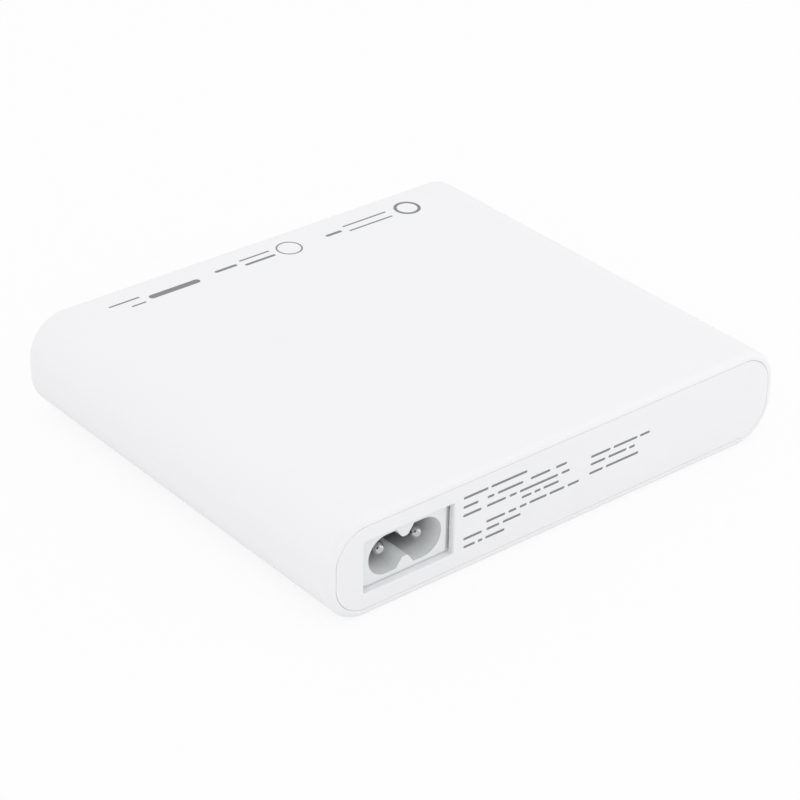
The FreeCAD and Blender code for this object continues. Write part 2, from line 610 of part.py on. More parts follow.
def make_bulk_capacitor(x):
    """An electrolytic can lying on the board along Y, crimped near its bent leads, and its lead places."""
    radius = BULK_DIAMETER / 2
    z = BOARD_TOP + BULK_BOARD_GAP + radius
    forward = V(0, 1, 0)
    can = Part.makeCylinder(radius, BULK_LENGTH, V(x, BULK_FRONT, z), forward)
    can = can.makeFillet(BULK_EDGE_RADIUS, edges_at(can, "y", BULK_FRONT) + edges_at(can, "y", ROW_END))
    ring = radius - BULK_CRIMP_DEPTH + BULK_CRIMP_RADIUS
    can = can.cut(Part.makeTorus(ring, BULK_CRIMP_RADIUS, V(x, BULK_FRONT + BULK_CRIMP_PLACE, z), forward))
    wire, bend_y = LEAD_DIAMETER / 2, BULK_FRONT - BULK_LEAD_REACH
    places = [(wire_x, bend_y) for wire_x in about(x, BULK_LEAD_PITCH)]
    wires = []
    for wire_x, y in places:
        wires.append(Part.makeCylinder(wire, BULK_LEAD_REACH + BULK_EDGE_RADIUS, V(wire_x, y, z), forward))
        wires.append(Part.makeSphere(wire, V(wire_x, y, z)))
        wires.append(lead(wire_x, y, z))
    return can.fuse(wires), places


def make_wound_part(rear, length):
    """A ferrite core with side windows, the winding round its middle leg, and the winding's lead places."""
    y = rear - length / 2
    core_length = length - 2 * WINDING_OVERHANG
    core = block(about(WOUND_X, WOUND_WIDTH), about(y, core_length), (BOARD_TOP, CORE_TOP))
    low, high = BOARD_TOP + CORE_PLATE, CORE_TOP - CORE_PLATE
    for side in (-1, 1):
        across = (WOUND_X + side * CORE_CENTRE_LEG / 2, WOUND_X + side * (WOUND_WIDTH / 2 - CORE_LEG))
        core = core.cut(block(across, about(y, core_length), (low, high)))
    low, high = low + WINDING_GAP, high - WINDING_GAP
    width = WOUND_WIDTH - 2 * (CORE_LEG + WINDING_GAP)
    winding = block(about(WOUND_X, width), about(y, length), (low, high))
    winding = winding.makeFillet(WINDING_CORNER_RADIUS, edges_along(winding, V(0, 0, 1)))
    leg_width, leg_length = CORE_CENTRE_LEG + 2 * WINDING_GAP, core_length + 2 * WINDING_GAP
    winding = winding.cut(block(about(WOUND_X, leg_width), about(y, leg_length), (low, high)))
    ends = about(y, length - WINDING_OVERHANG)
    places = [(x, end) for x in about(WOUND_X, WINDING_LEAD_PITCH) for end in ends]
    return core, winding.fuse([lead(*place, (low + high) / 2) for place in places]), places


def make_chip_pair(x, y, width, length):
    """Two flat chips side by side on the main board."""
    places = about(x, width + PART_GAP)
    return Part.makeCompound([standing_block(place, y, width, length, CHIP_HEIGHT) for place in places])


def make_small_row():
    """The row beside the wound parts: Y capacitor, optocoupler, control chips and output capacitors."""
    x = SMALL_ROW_X
    y = ROW_END - Y_CAPACITOR_DIAMETER / 2
    size = (Y_CAPACITOR_DIAMETER, Y_CAPACITOR_THICKNESS, Y_CAPACITOR_EDGE_RADIUS)
    y_capacitor, places = make_disc(x, y, *size)
    y -= Y_CAPACITOR_DIAMETER / 2 + PART_GAP + OPTOCOUPLER_LENGTH / 2
    optocoupler = standing_block(x, y, OPTOCOUPLER_WIDTH, OPTOCOUPLER_LENGTH, OPTOCOUPLER_HEIGHT)
    y -= OPTOCOUPLER_LENGTH / 2 + PART_GAP + CONTROL_CHIP_SIZE / 2
    chips = []
    for count in range(CONTROL_CHIP_COUNT):
        chips.append(standing_block(x, y, CONTROL_CHIP_SIZE, CONTROL_CHIP_SIZE, CHIP_HEIGHT))
        y -= CONTROL_CHIP_SIZE + PART_GAP
    y += (CONTROL_CHIP_SIZE - OUTPUT_CAPACITOR_DIAMETER) / 2
    cans = []
    for count in range(OUTPUT_CAPACITOR_COUNT):
        cans.append(make_output_capacitor(x, y))
        y -= OUTPUT_CAPACITOR_DIAMETER + PART_GAP
    return y_capacitor, places, optocoupler, Part.makeCompound(chips), Part.makeCompound(cans)


def make_output_capacitor(x, y):
    """A small can on its square base."""
    size = OUTPUT_CAPACITOR_DIAMETER
    can = Part.makeCylinder(size / 2, OUTPUT_CAPACITOR_HEIGHT, V(x, y, BOARD_TOP))
    rim = edges_at(can, "z", BOARD_TOP + OUTPUT_CAPACITOR_HEIGHT)
    can = can.makeFillet(OUTPUT_CAPACITOR_EDGE_RADIUS, rim)
    return can.fuse(standing_block(x, y, size, size, OUTPUT_CAPACITOR_BASE_HEIGHT)).removeSplitter()


def make_output_inductors():
    """A moulded inductor behind each port."""
    bodies = []
    for x in PORT_PLACES:
        body = standing_block(x, INDUCTOR_Y, INDUCTOR_SIZE, INDUCTOR_SIZE, INDUCTOR_HEIGHT)
        bodies.append(body.makeFillet(INDUCTOR_EDGE_RADIUS, edges_along(body, V(0, 0, 1))))
    return Part.makeCompound(bodies)


def make_lower_heat_path():
    """Below the board: the spreader on the floor, the film over it, and the pad under the switches."""
    reach, end = SLEEVE_WIDTH / 2 - EDGE_RADIUS - FILM_SIDE_GAP, ROW_END
    film = block((-reach, reach), (-end, end), (FILM_BOTTOM, FILM_TOP))
    reach, end = reach - FILM_OVERLAP, end - FILM_OVERLAP
    spreader = block((-reach, reach), (-end, end), (FLOOR_Z, FILM_BOTTOM))
    pad = standing_block(GAN_X, GAN_Y, LOWER_PAD_WIDTH, LOWER_PAD_LENGTH, LOWER_PAD_THICKNESS, FILM_TOP)
    return spreader, film, pad


def make_upper_heat_path():
    """Above the wound parts: a pad on each core, and the spreader that lies on both."""
    width = WOUND_WIDTH - 2 * UPPER_PAD_MARGIN
    pads = []
    for rear, length in ((ROW_END, PFC_CHOKE_LENGTH), (TRANSFORMER_REAR, TRANSFORMER_LENGTH)):
        pad_length = length - 2 * (WINDING_OVERHANG + UPPER_PAD_MARGIN)
        level = (CORE_TOP, CORE_TOP + UPPER_PAD_THICKNESS)
        pads.append(block(about(WOUND_X, width), about(rear - length / 2, pad_length), level))
    along = (TRANSFORMER_FRONT + WINDING_OVERHANG, ROW_END - WINDING_OVERHANG)
    level = (UPPER_SPREADER_BOTTOM, UPPER_SPREADER_BOTTOM + UPPER_SPREADER_THICKNESS)
    return Part.makeCompound(pads), block(about(WOUND_X, WOUND_WIDTH), along, level)


def make_parts():
    """Every piece by name."""
    parts = {}
    leads = []

    def add_leaded(name, made):
        parts[name] = made[0]
        leads.extend(made[1])

    parts["outer_sleeve"] = make_sleeve()
    parts["rear_panel"] = make_rear_panel()
    parts["front_panel"] = make_front_panel()
    parts["ac_inlet_body"] = make_inlet_body()
    for name, x in zip(("inlet_pin_neutral", "inlet_pin_line"), about(INLET_X, PIN_PITCH)):
        parts[name] = make_inlet_pin(x)
    parts["port_board"] = make_port_board()
    for name, x in zip(PORT_NAMES, PORT_PLACES):
        parts[name + "_shell"] = make_port_shell(name, x)
        parts[name + "_insulator"] = make_port_insulator(name, x)
        parts[name + "_contacts"] = make_port_contacts(name, x)
    parts["output_inductors"] = make_output_inductors()

    add_leaded("fuse", make_fuse())
    varistor = make_disc(VARISTOR_X, FUSE_Y, VARISTOR_DIAMETER, VARISTOR_THICKNESS, VARISTOR_EDGE_RADIUS)
    add_leaded("varistor", varistor)
    add_leaded("x_capacitor", make_x_capacitor())
    parts["line_choke_core"], *windings = make_line_choke()
    add_leaded("line_choke_windings", windings)
    add_leaded("bridge_rectifier", make_bridge())
    for count, x in enumerate(BULK_PLACES, 1):
        add_leaded(f"bulk_capacitor_{count}", make_bulk_capacitor(x))
    parts["gan_switches"] = make_chip_pair(GAN_X, GAN_Y, GAN_SIZE, GAN_SIZE)
    parts["pfc_choke_core"], *winding = make_wound_part(ROW_END, PFC_CHOKE_LENGTH)
    add_leaded("pfc_choke_winding", winding)
    parts["transformer_core"], *winding = make_wound_part(TRANSFORMER_REAR, TRANSFORMER_LENGTH)
    add_leaded("transformer_winding", winding)
    rectifier_y = TRANSFORMER_FRONT - PART_GAP - RECTIFIER_LENGTH / 2
    parts["output_rectifiers"] = make_chip_pair(WOUND_X, rectifier_y, RECTIFIER_WIDTH, RECTIFIER_LENGTH)
    *y_capacitor, optocoupler, chips, cans = make_small_row()
    add_leaded("y_capacitor", y_capacitor)
    parts["optocoupler"] = optocoupler
    parts["control_chips"] = chips
    parts["output_capacitors"] = cans

    spreader, film, pad = make_lower_heat_path()
    parts["lower_heat_spreader"] = spreader
    parts["insulating_film"] = film
    parts["lower_thermal_pad"] = pad
    parts["upper_thermal_pads"], parts["upper_heat_spreader"] = make_upper_heat_path()
    parts["main_board"] = make_main_board(leads)
    return parts


def main():
    os.makedirs("parts", exist_ok=True)
    for name, shape in make_parts().items():
        if not shape.isValid():
            raise ValueError(f"{name} is not a valid shape")
        shape.exportStep(f"parts/{name}.step")
        print(f"{name}: {len(shape.Solids)} solid(s), {shape.Volume:.1f} mm3")


main()
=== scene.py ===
import json
import math

import bmesh
import bpy
from mathutils import Matrix, Vector


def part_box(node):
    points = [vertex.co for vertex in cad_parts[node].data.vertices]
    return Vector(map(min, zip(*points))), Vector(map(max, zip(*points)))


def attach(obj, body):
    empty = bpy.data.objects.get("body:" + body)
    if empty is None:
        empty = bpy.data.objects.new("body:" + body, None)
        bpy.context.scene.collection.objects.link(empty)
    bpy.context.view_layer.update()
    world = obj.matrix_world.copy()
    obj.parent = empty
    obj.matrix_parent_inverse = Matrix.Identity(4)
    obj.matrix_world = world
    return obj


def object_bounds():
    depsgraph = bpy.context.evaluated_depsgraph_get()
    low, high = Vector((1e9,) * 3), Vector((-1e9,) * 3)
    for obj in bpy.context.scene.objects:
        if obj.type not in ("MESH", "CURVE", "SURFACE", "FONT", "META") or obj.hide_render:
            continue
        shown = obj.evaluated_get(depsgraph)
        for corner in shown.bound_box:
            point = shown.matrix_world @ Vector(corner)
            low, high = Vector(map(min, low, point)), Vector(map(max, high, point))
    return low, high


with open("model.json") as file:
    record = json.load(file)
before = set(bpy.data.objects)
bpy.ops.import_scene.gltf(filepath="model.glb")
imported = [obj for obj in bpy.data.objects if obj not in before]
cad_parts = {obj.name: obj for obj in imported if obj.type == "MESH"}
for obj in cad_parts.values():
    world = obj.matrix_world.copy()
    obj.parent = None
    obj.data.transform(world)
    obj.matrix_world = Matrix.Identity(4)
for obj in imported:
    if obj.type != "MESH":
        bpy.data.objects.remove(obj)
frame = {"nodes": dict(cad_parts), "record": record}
cad_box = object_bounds()
scene = bpy.context.scene
scene.view_settings.view_transform = "Standard"

MM = 0.001

# Camera, at the photograph's angle
AZIMUTH = 140.067
ELEVATION = 30.074
ROLL = 1.148
DISTANCE = 0.51849
LENS = 119.411
SENSOR = 36.0
SHIFT = (0.0003, -0.0292)
CLIP = (0.01, 50.0)

# Studio light: an even glow from all round, and round lamps as (place, width, power)
SKY_LEVEL = 0.958
OVERHEAD_LAMP = ((0.10, 0.0, 1.2), 0.9, 0.30)
REAR_LAMP = ((-0.36, 0.32, 0.09), 0.2, 0.10)
PIN_LAMP = ((-0.22, 0.36, 0.40), 0.09, 0.085)
SIDE_LAMP = ((1.25, 0.20, 0.40), 0.9, 0.66)

# The dark card that only reflections see: the way to it, and the cosines of its soft edge
CARD_WAY = (0.64, 0.42, 0.64)
CARD_EDGE = (0.82, 0.89)
CARD_LEVEL = 0.02

# Floor
FLOOR_COLOUR = (0.92, 0.92, 0.925)
FLOOR_WHITE_SHARE = 0.85
FLOOR_SIZE = 8.0
FLOOR_DROP = 0.02 * MM

# The inlet's cavity, in millimetres: half its width, the depths over which painted light makes its colour
# lighter, and the depths over which painted shade darkens it
CAVITY_REACH = 8.6
PAINTED_LIGHT_DEPTHS = (0.1, 0.6)
PAINTED_SHADE_DEPTHS = (3.5, 9.0)

# Mould marks, in millimetres: the width and height of the slow waves under the grain
MOULD_WAVE = 2.4
MOULD_WAVE_HEIGHT = 0.006

# Repeated marks of the inner works: pitches in millimetres, and turns of wire round the ring core
TRACK_PITCH = 1.3
TAPE_LAP = 2.6
LINER_PITCH = 0.9
WIRE_TURNS = 44

# The bare cut edge of a board, in millimetres
CUT_EDGE = 0.02

# The foam frame, in millimetres. Its hole has the inlet's width, height and corners, and its middle
# is level with the pins. Its profile goes outwards from the inlet's side, as (distance, place along Y
# under the inlet, place along Y beside and above it), with a slope between the two.
PIN_RADIUS = 1.2
GASKET_SIZE = (19.5, 10.5)
GASKET_CORNER = 1.1
GASKET_CORNER_STEPS = 12
GASKET_SLOPE_START = 0.04
GASKET_SLOPE_HEIGHT = 0.4
GASKET_PROFILE = [
    (0.02, 45.88, 45.55),
    (0.02, 46.27, 45.78),
    (0.07, 46.32, 45.83),
    (1.02, 46.32, 45.83),
    (1.10, 46.24, 45.75),
    (1.10, 45.88, 45.55),
]

# Printed marks, in millimetres
LINE_HEIGHT = 0.5
INK_RISE = 0.012
INK_SINK = 0.02
BAR_END_STEPS = 6
RING_STEPS = 48


class Look:
    """A material of the object. Its textures are laid by place on the object, in millimetres."""

    def __init__(self, name, **constants):
        self.material = bpy.data.materials.new(name)
        self.material.use_nodes = True
        self.tree = self.material.node_tree
        self.shader = self.tree.nodes["Principled BSDF"]
        place = self.add("ShaderNodeTexCoord").outputs["Object"]
        scaled = self.add("ShaderNodeVectorMath", Vector=place, Scale=1 / MM, operation="SCALE")
        self.place = scaled.outputs[0]
        for socket, value in constants.items():
            self.set(socket.replace("_", " "), value)

    def add(self, kind, **values):
        """A new node. A value goes to the input of that name, or else to the setting of that name."""
        node = self.tree.nodes.new(kind)
        settings = {key: value for key, value in values.items() if key.islower()}
        for key, value in settings.items():
            setattr(node, key, value)
        for key, value in values.items():
            if key not in settings:
                self.feed(node.inputs[key.replace("_", " ")], value)
        return node

    def feed(self, socket, value):
        """Links another node to an input, or sets a constant on it."""
        if isinstance(value, bpy.types.NodeSocket):
            self.tree.links.new(value, socket)
        else:
            socket.default_value = value

    def set(self, socket, value):
        """Gives the surface a constant or a texture."""
        self.feed(self.shader.inputs[socket], (*value, 1.0) if isinstance(value, tuple) else value)

    def noise(self, size, detail=2.0):
        """Cloudy noise from 0 to 1. size is its grain in millimetres, one number or one for each axis."""
        sizes = size if isinstance(size, tuple) else (size, size, size)
        scale = tuple(1 / length for length in sizes)
        mapped = self.add("ShaderNodeMapping", Vector=self.place, Scale=scale).outputs[0]
        return self.add("ShaderNodeTexNoise", Vector=mapped, Scale=1.0, Detail=detail).outputs[0]

    def cells(self, size):
        """Distance from the middle of each cell of a random mosaic, from 0 to about 1."""
        return self.add("ShaderNodeTexVoronoi", Vector=self.place, Scale=1 / size).outputs["Distance"]

    def axis(self, name):
        """The place along one axis, in millimetres."""
        return self.add("ShaderNodeSeparateXYZ", Vector=self.place).outputs[name]

    def math(self, operation, first, second=0.0):
        """One step of arithmetic on one or two values."""
        node = self.add("ShaderNodeMath", operation=operation)
        self.feed(node.inputs[0], first)
        self.feed(node.inputs[1], second)
        return node.outputs[0]

    def waves(self, along, pitch, wander=0.0):
        """Round ridges from 0 to 1 across a place in millimetres, shifted by a noise of up to wander."""
        if wander:
            along = self.math("ADD", along, self.ranged(self.noise(3.0), -wander, wander))
        turn = self.math("MULTIPLY", along, 2 * math.pi / pitch)
        return self.ranged(self.math("SINE", turn), 0, 1, -1, 1)

    def ranged(self, value, low, high, from_low=0.0, from_high=1.0):
        """A value stretched from one range to another, and kept inside it."""
        node = self.add("ShaderNodeMapRange", Value=value, To_Min=low, To_Max=high)
        node.inputs["From Min"].default_value = from_low
        node.inputs["From Max"].default_value = from_high
        return node.outputs[0]

    def mixed(self, share, first, second):
        """A colour between two, by a share from 0 to 1."""
        node = self.add("ShaderNodeMix", data_type="RGBA")
        self.feed(node.inputs[0], share)
        # Inputs 6 and 7 and output 2 are the node's colours
        for socket, colour in ((node.inputs[6], first), (node.inputs[7], second)):
            self.feed(socket, (*colour, 1.0) if isinstance(colour, tuple) else colour)
        return node.outputs[2]

    def varied(self, share, colour, spread):
        """A colour made darker to lighter by a spread, by a share from 0 to 1."""
        darker, lighter = (
            tuple(min(channel * level, 1.0) for channel in colour) for level in (1 - spread, 1 + spread)
        )
        return self.mixed(share, darker, lighter)

    def raise_by(self, *layers):
        """Raises the surface by textures, each with its height in millimetres."""
        normal = None
        for texture, height in layers:
            node = self.add("ShaderNodeBump", Height=texture, Distance=height * MM, Strength=1.0)
            if normal:
                self.feed(node.inputs["Normal"], normal)
            normal = node.outputs[0]
        self.set("Normal", normal)


def add_mould_marks(look, grain, roughness, depth):
    """The slow waves and the fine grain that a mould's face leaves."""
    fine = look.noise(grain, detail=3.0)
    look.set("Roughness", look.ranged(fine, roughness - 0.06, roughness + 0.06))
    look.raise_by((look.noise(MOULD_WAVE, detail=1.0), MOULD_WAVE_HEIGHT), (fine, depth))


def moulded(name, colour, roughness, grain=0.22, depth=0.004, cloud=18.0, spread=0.008, **constants):
    """Moulded plastic, faintly clouded."""
    look = Look(name, **constants)
    look.set("Base Color", look.varied(look.noise(cloud, detail=1.0), colour, spread))
    add_mould_marks(look, grain, roughness, depth)
    return look.material


def drawn_metal(name, colour, roughness, size, depth=0.003, spread=0.08):
    """Metal with fine lines along the way that it was drawn, turned or rolled."""
    look = Look(name, Metallic=1.0)
    lines = look.noise(size, detail=4.0)
    stains = look.noise(6.0)
    look.set("Base Color", look.varied(lines, colour, spread))
    look.set("Roughness", look.ranged(stains, roughness - 0.06, roughness + 0.08, 0.3, 0.7))
    look.raise_by((lines, depth))
    return look.material


def socket_moulding():
    """The inlet's moulding: pale, with painted light making it lighter inside the mouth of its cavity, and
    painted shade darkening it towards the cavity's bottom.
    """
    low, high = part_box("ac_inlet_body")
    look = Look("inlet_white")
    pale = look.mixed(look.noise(6.0, detail=1.0), (0.805, 0.825, 0.828), (0.820, 0.840, 0.843))
    depth = look.math("SUBTRACT", high.y / MM, look.axis("Y"))
    aside = look.math("ABSOLUTE", look.math("SUBTRACT", look.axis("X"), (low.x + high.x) / 2 / MM))
    in_cavity = look.math("LESS_THAN", aside, CAVITY_REACH)
    # Painted light: from just inside the mouth, the cavity's colour is made lighter than the face
    painted_light = look.math("MULTIPLY", look.ranged(depth, 0, 1, *PAINTED_LIGHT_DEPTHS), in_cavity)
    painted_shade = look.math("MULTIPLY", look.ranged(depth, 0, 1, *PAINTED_SHADE_DEPTHS), in_cavity)
    with_painted_light = look.mixed(painted_light, pale, (0.895, 0.918, 0.923))
    # Painted shade: towards the cavity's bottom its colour turns dark grey
    look.set("Base Color", look.mixed(painted_shade, with_painted_light, (0.25, 0.257, 0.26)))
    add_mould_marks(look, grain=0.30, roughness=0.42, depth=0.004)
    return look.material


def solder_mask():
    """Board lacquer over copper tracks, which show as raised, lighter lines. The cut ends are bare."""
    look = Look("board_green", Coat_Weight=0.3, Coat_Roughness=0.12)
    across, along = (look.waves(look.axis(name), TRACK_PITCH) for name in "XY")
    zones = look.ranged(look.noise(9.0, detail=0.0), 0, 1, 0.48, 0.52)
    other_zones = look.math("SUBTRACT", 1.0, zones)
    lines_across = look.math("MULTIPLY", across, zones)
    lines_along = look.math("MULTIPLY", along, other_zones)
    lines = look.math("ADD", lines_across, lines_along)
    copper_here = look.ranged(look.noise(14.0, detail=1.0), 0, 1, 0.40, 0.46)
    tracks = look.math("MULTIPLY", look.ranged(lines, 0, 1, 0.62, 0.74), copper_here)
    lacquer = look.mixed(tracks, (0.012, 0.085, 0.035), (0.03, 0.16, 0.065))
    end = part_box("main_board")[1].y / MM - CUT_EDGE
    bare = look.math("GREATER_THAN", look.math("ABSOLUTE", look.axis("Y")), end)
    laminate = look.mixed(look.noise((0.2, 0.2, 0.08)), (0.60, 0.56, 0.45), (0.70, 0.66, 0.54))
    look.set("Base Color", look.mixed(bare, lacquer, laminate))
    look.set("Roughness", look.ranged(look.noise(1.2), 0.26, 0.38))
    look.raise_by((tracks, 0.03), (look.noise(0.25), 0.004))
    return look.material


def ferrite():
    """Sintered ferrite: dark grey grains with small paler flecks."""
    look = Look("ferrite", Specular_IOR_Level=0.4)
    flecks = look.ranged(look.cells(0.35), 1, 0, 0.08, 0.30)
    colour = look.mixed(look.noise(1.6), (0.018, 0.018, 0.020), (0.035, 0.035, 0.037))
    look.set("Base Color", look.mixed(flecks, colour, (0.075, 0.075, 0.078)))
    look.set("Roughness", look.ranged(look.noise(0.5), 0.55, 0.78))
    look.raise_by((look.noise(0.18, detail=4.0), 0.02))
    return look.material


def wound_wire():
    """Enamelled copper wire laid side by side round the ring core, so its turns fan out from the middle.
    The darker copper between the turns is painted shade.
    """
    low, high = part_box("line_choke_core")
    middle = (low + high) / 2 / MM
    look = Look("copper", Metallic=0.85, Coat_Weight=0.6, Coat_Roughness=0.15)
    x = look.math("SUBTRACT", look.axis("X"), middle.x)
    y = look.math("SUBTRACT", look.axis("Y"), middle.y)
    turns = look.waves(look.math("ARCTAN2", y, x), 2 * math.pi / WIRE_TURNS)
    colour = look.mixed(look.noise(2.0), (0.42, 0.13, 0.045), (0.60, 0.22, 0.08))
    # Painted shade: the copper is darker in the grooves between the turns
    look.set("Base Color", look.mixed(turns, (0.16, 0.045, 0.018), colour))
    look.set("Roughness", look.ranged(look.noise(0.8), 0.24, 0.36))
    look.raise_by((turns, 0.25))
    return look.material


def wound_tape():
    """Yellow polyester tape wrapped round a winding, with the edge of each lap showing."""
    look = Look("winding_tape", Coat_Weight=0.35, Coat_Roughness=0.18)
    laps = look.math("FRACT", look.math("DIVIDE", look.axis("Z"), TAPE_LAP))
    edge = look.ranged(laps, 1, 0, 0.0, 0.06)
    colour = look.mixed(look.noise(5.0), (0.60, 0.42, 0.030), (0.74, 0.54, 0.05))
    look.set("Base Color", look.mixed(edge, colour, (0.40, 0.26, 0.02)))
    look.set("Roughness", look.ranged(look.noise(1.5), 0.30, 0.44))
    look.raise_by((laps, 0.06), (look.noise((3.0, 3.0, 0.6)), 0.03))
    return look.material


def shrunk_wrap():
    """Dark shrink wrap, drawn tight over a can, with faint wrinkles across it."""
    look = Look("capacitor_wrap", Coat_Weight=0.3, Coat_Roughness=0.2)
    wrinkles = look.noise((4.0, 0.7, 4.0), detail=3.0)
    look.set("Base Color", look.mixed(look.noise(7.0), (0.014, 0.014, 0.018), (0.028, 0.028, 0.034)))
    look.set("Roughness", look.ranged(wrinkles, 0.24, 0.42))
    look.raise_by((wrinkles, 0.03))
    return look.material


def filled_silicone():
    """Soft thermal pad: matt, with pale filler specks and the press marks of its liner."""
    look = Look("thermal_pad", Specular_IOR_Level=0.25)
    specks = look.ranged(look.cells(0.28), 1, 0, 0.05, 0.22)
    colour = look.mixed(look.noise(3.0), (0.25, 0.30, 0.38), (0.30, 0.36, 0.44))
    look.set("Base Color", look.mixed(specks, colour, (0.55, 0.60, 0.66)))
    look.set("Roughness", look.ranged(look.noise(0.6), 0.70, 0.92))
    press_marks = look.waves(look.axis("X"), LINER_PITCH, wander=0.1)
    look.raise_by((press_marks, 0.01), (look.noise(0.3), 0.02))
    return look.material


def amber_film():
    """Stiff amber insulating film, with faint flow lines and scuffs."""
    look = Look("film_amber", Coat_Weight=0.5, Coat_Roughness=0.1)
    flow = look.noise((1.2, 18.0, 1.2))
    look.set("Base Color", look.mixed(flow, (0.32, 0.15, 0.018), (0.42, 0.21, 0.03)))
    look.set("Roughness", look.ranged(look.noise(1.0, detail=4.0), 0.16, 0.34))
    look.raise_by((flow, 0.008))
    return look.material


def foam():
    """Pale closed-cell foam: matt, with the dimples of its cells, each painted darker in its hollow as
    painted shade.
    """
    look = Look("gasket_foam", Specular_IOR_Level=0.3)
    dimples = look.ranged(look.cells(0.12), 0, 1, 0.0, 0.5)
    # Painted shade: each dimple is darker towards its hollow middle
    look.set("Base Color", look.mixed(dimples, (0.70, 0.71, 0.715), (0.80, 0.81, 0.815)))
    look.set("Roughness", look.ranged(look.noise(0.4), 0.75, 0.92))
    look.raise_by((dimples, 0.01))
    return look.material


def ink():
    """Thin grey pad-printed ink, a little uneven in cover."""
    look = Look("print_ink")
    cover = look.noise(0.35, detail=3.0)
    look.set("Base Color", look.mixed(cover, (0.20, 0.20, 0.205), (0.26, 0.26, 0.265)))
    look.set("Roughness", look.ranged(look.noise(0.2), 0.5, 0.65))
    look.raise_by((look.noise(0.12), 0.002))
    return look.material


LOOKS = {
    "casing_white": moulded("casing_white", (0.885, 0.885, 0.900), 0.42),
    "panel_white": moulded("panel_white", (0.880, 0.880, 0.896), 0.45, grain=0.26),
    "inlet_white": socket_moulding(),
    "plated_pin": drawn_metal(
        "plated_pin", (0.52, 0.52, 0.515), 0.12, (3.0, 0.30, 3.0), depth=0.0004, spread=0.04
    ),
    "board_green": solder_mask(),
    "port_steel": drawn_metal("port_steel", (0.62, 0.62, 0.63), 0.30, (0.10, 4.0, 0.10)),
    "port_moulding": moulded("port_moulding", (0.020, 0.020, 0.022), 0.46, cloud=3.0, spread=0.12),
    "contact_gold": drawn_metal("contact_gold", (0.80, 0.56, 0.20), 0.24, (0.08, 2.0, 0.08)),
    "chip_black": moulded(
        "chip_black", (0.016, 0.016, 0.017), 0.58, grain=0.12, depth=0.008, cloud=3.0, spread=0.15
    ),
    "dipped_blue": moulded(
        "dipped_blue", (0.015, 0.075, 0.26), 0.26,
        grain=0.8, depth=0.02, cloud=4.0, spread=0.12, Coat_Weight=0.4,
    ),
    "box_yellow": moulded(
        "box_yellow", (0.60, 0.40, 0.035), 0.48, grain=0.2, depth=0.006, cloud=5.0, spread=0.05
    ),
    "ferrite": ferrite(),
    "copper": wound_wire(),
    "winding_tape": wound_tape(),
    "capacitor_can": drawn_metal("capacitor_can", (0.72, 0.72, 0.73), 0.34, (3.0, 3.0, 0.10)),
    "capacitor_wrap": shrunk_wrap(),
    "heat_spreader": drawn_metal("heat_spreader", (0.66, 0.66, 0.67), 0.40, (0.14, 9.0, 0.14)),
    "thermal_pad": filled_silicone(),
    "film_amber": amber_film(),
}
ink_look = ink()

for part in frame["record"]["subparts"]:
    mesh = frame["nodes"][part["node"]].data
    mesh.materials.clear()
    mesh.materials.append(LOOKS[part["material_slot"]])


def add_piece(name, mesh, material):
    """Makes a closed mesh into a piece of the scene."""
    bmesh.ops.recalc_face_normals(mesh, faces=mesh.faces)
    data = bpy.data.meshes.new(name)
    mesh.to_mesh(data)
    mesh.free()
    data.materials.append(material)
    piece = bpy.data.objects.new(name, data)
    scene.collection.objects.link(piece)
    return piece


def bar_outline(start, end, level, height):
    """Round-ended bar along the first axis, as points in order round it."""
    radius = height / 2
    points = []
    for centre, first in ((max(start, end) - radius, -90), (min(start, end) + radius, 90)):
        for step in range(BAR_END_STEPS + 1):
            turn = math.radians(first + 180 * step / BAR_END_STEPS)
            points.append((centre + radius * math.cos(turn), level + radius * math.sin(turn)))
    return points


def circle_outline(centre, level, radius):
    """A circle, as points in order round it."""
    turns = [2 * math.pi * step / RING_STEPS for step in range(RING_STEPS)]
    return [(centre + radius * math.cos(turn), level + radius * math.sin(turn)) for turn in turns]


def add_mark(mesh, to_face, outline, hole=None):
    """Adds one closed flat mark to a mesh: a filled outline, or a band round a hole of as many points."""
    levels = (-INK_SINK, INK_RISE)
    loops = []
    for loop in (outline, hole) if hole else (outline,):
        loops.append([[mesh.verts.new(to_face @ Vector((u, v, w))) for u, v in loop] for w in levels])
    for number, (low, high) in enumerate(loops):
        for a in range(len(low)):
            b = (a + 1) % len(low)
            side = (low[a], low[b], high[b], high[a])
            mesh.faces.new(side if number == 0 else side[::-1])
    if not hole:
        (low, high), = loops
        mesh.faces.new(high)
        mesh.faces.new(low[::-1])
        return
    (outer_low, outer_high), (inner_low, inner_high) = loops
    for a in range(len(outer_low)):
        b = (a + 1) % len(outer_low)
        mesh.faces.new((outer_high[a], outer_high[b], inner_high[b], inner_high[a]))
        mesh.faces.new((outer_low[b], outer_low[a], inner_low[a], inner_low[b]))


def add_print(name, to_face, bars, rings):
    """One piece of print on a face.

    Bars are (start, end, level, height), and rings are (centre, level, radius, line width).
    """
    mesh = bmesh.new()
    for bar in bars:
        add_mark(mesh, to_face, bar_outline(*bar))
    for centre, level, radius, line in rings:
        hole = circle_outline(centre, level, radius - line)
        add_mark(mesh, to_face, circle_outline(centre, level, radius), hole)
    piece = add_piece(name, mesh, ink_look)
    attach(piece, "root")


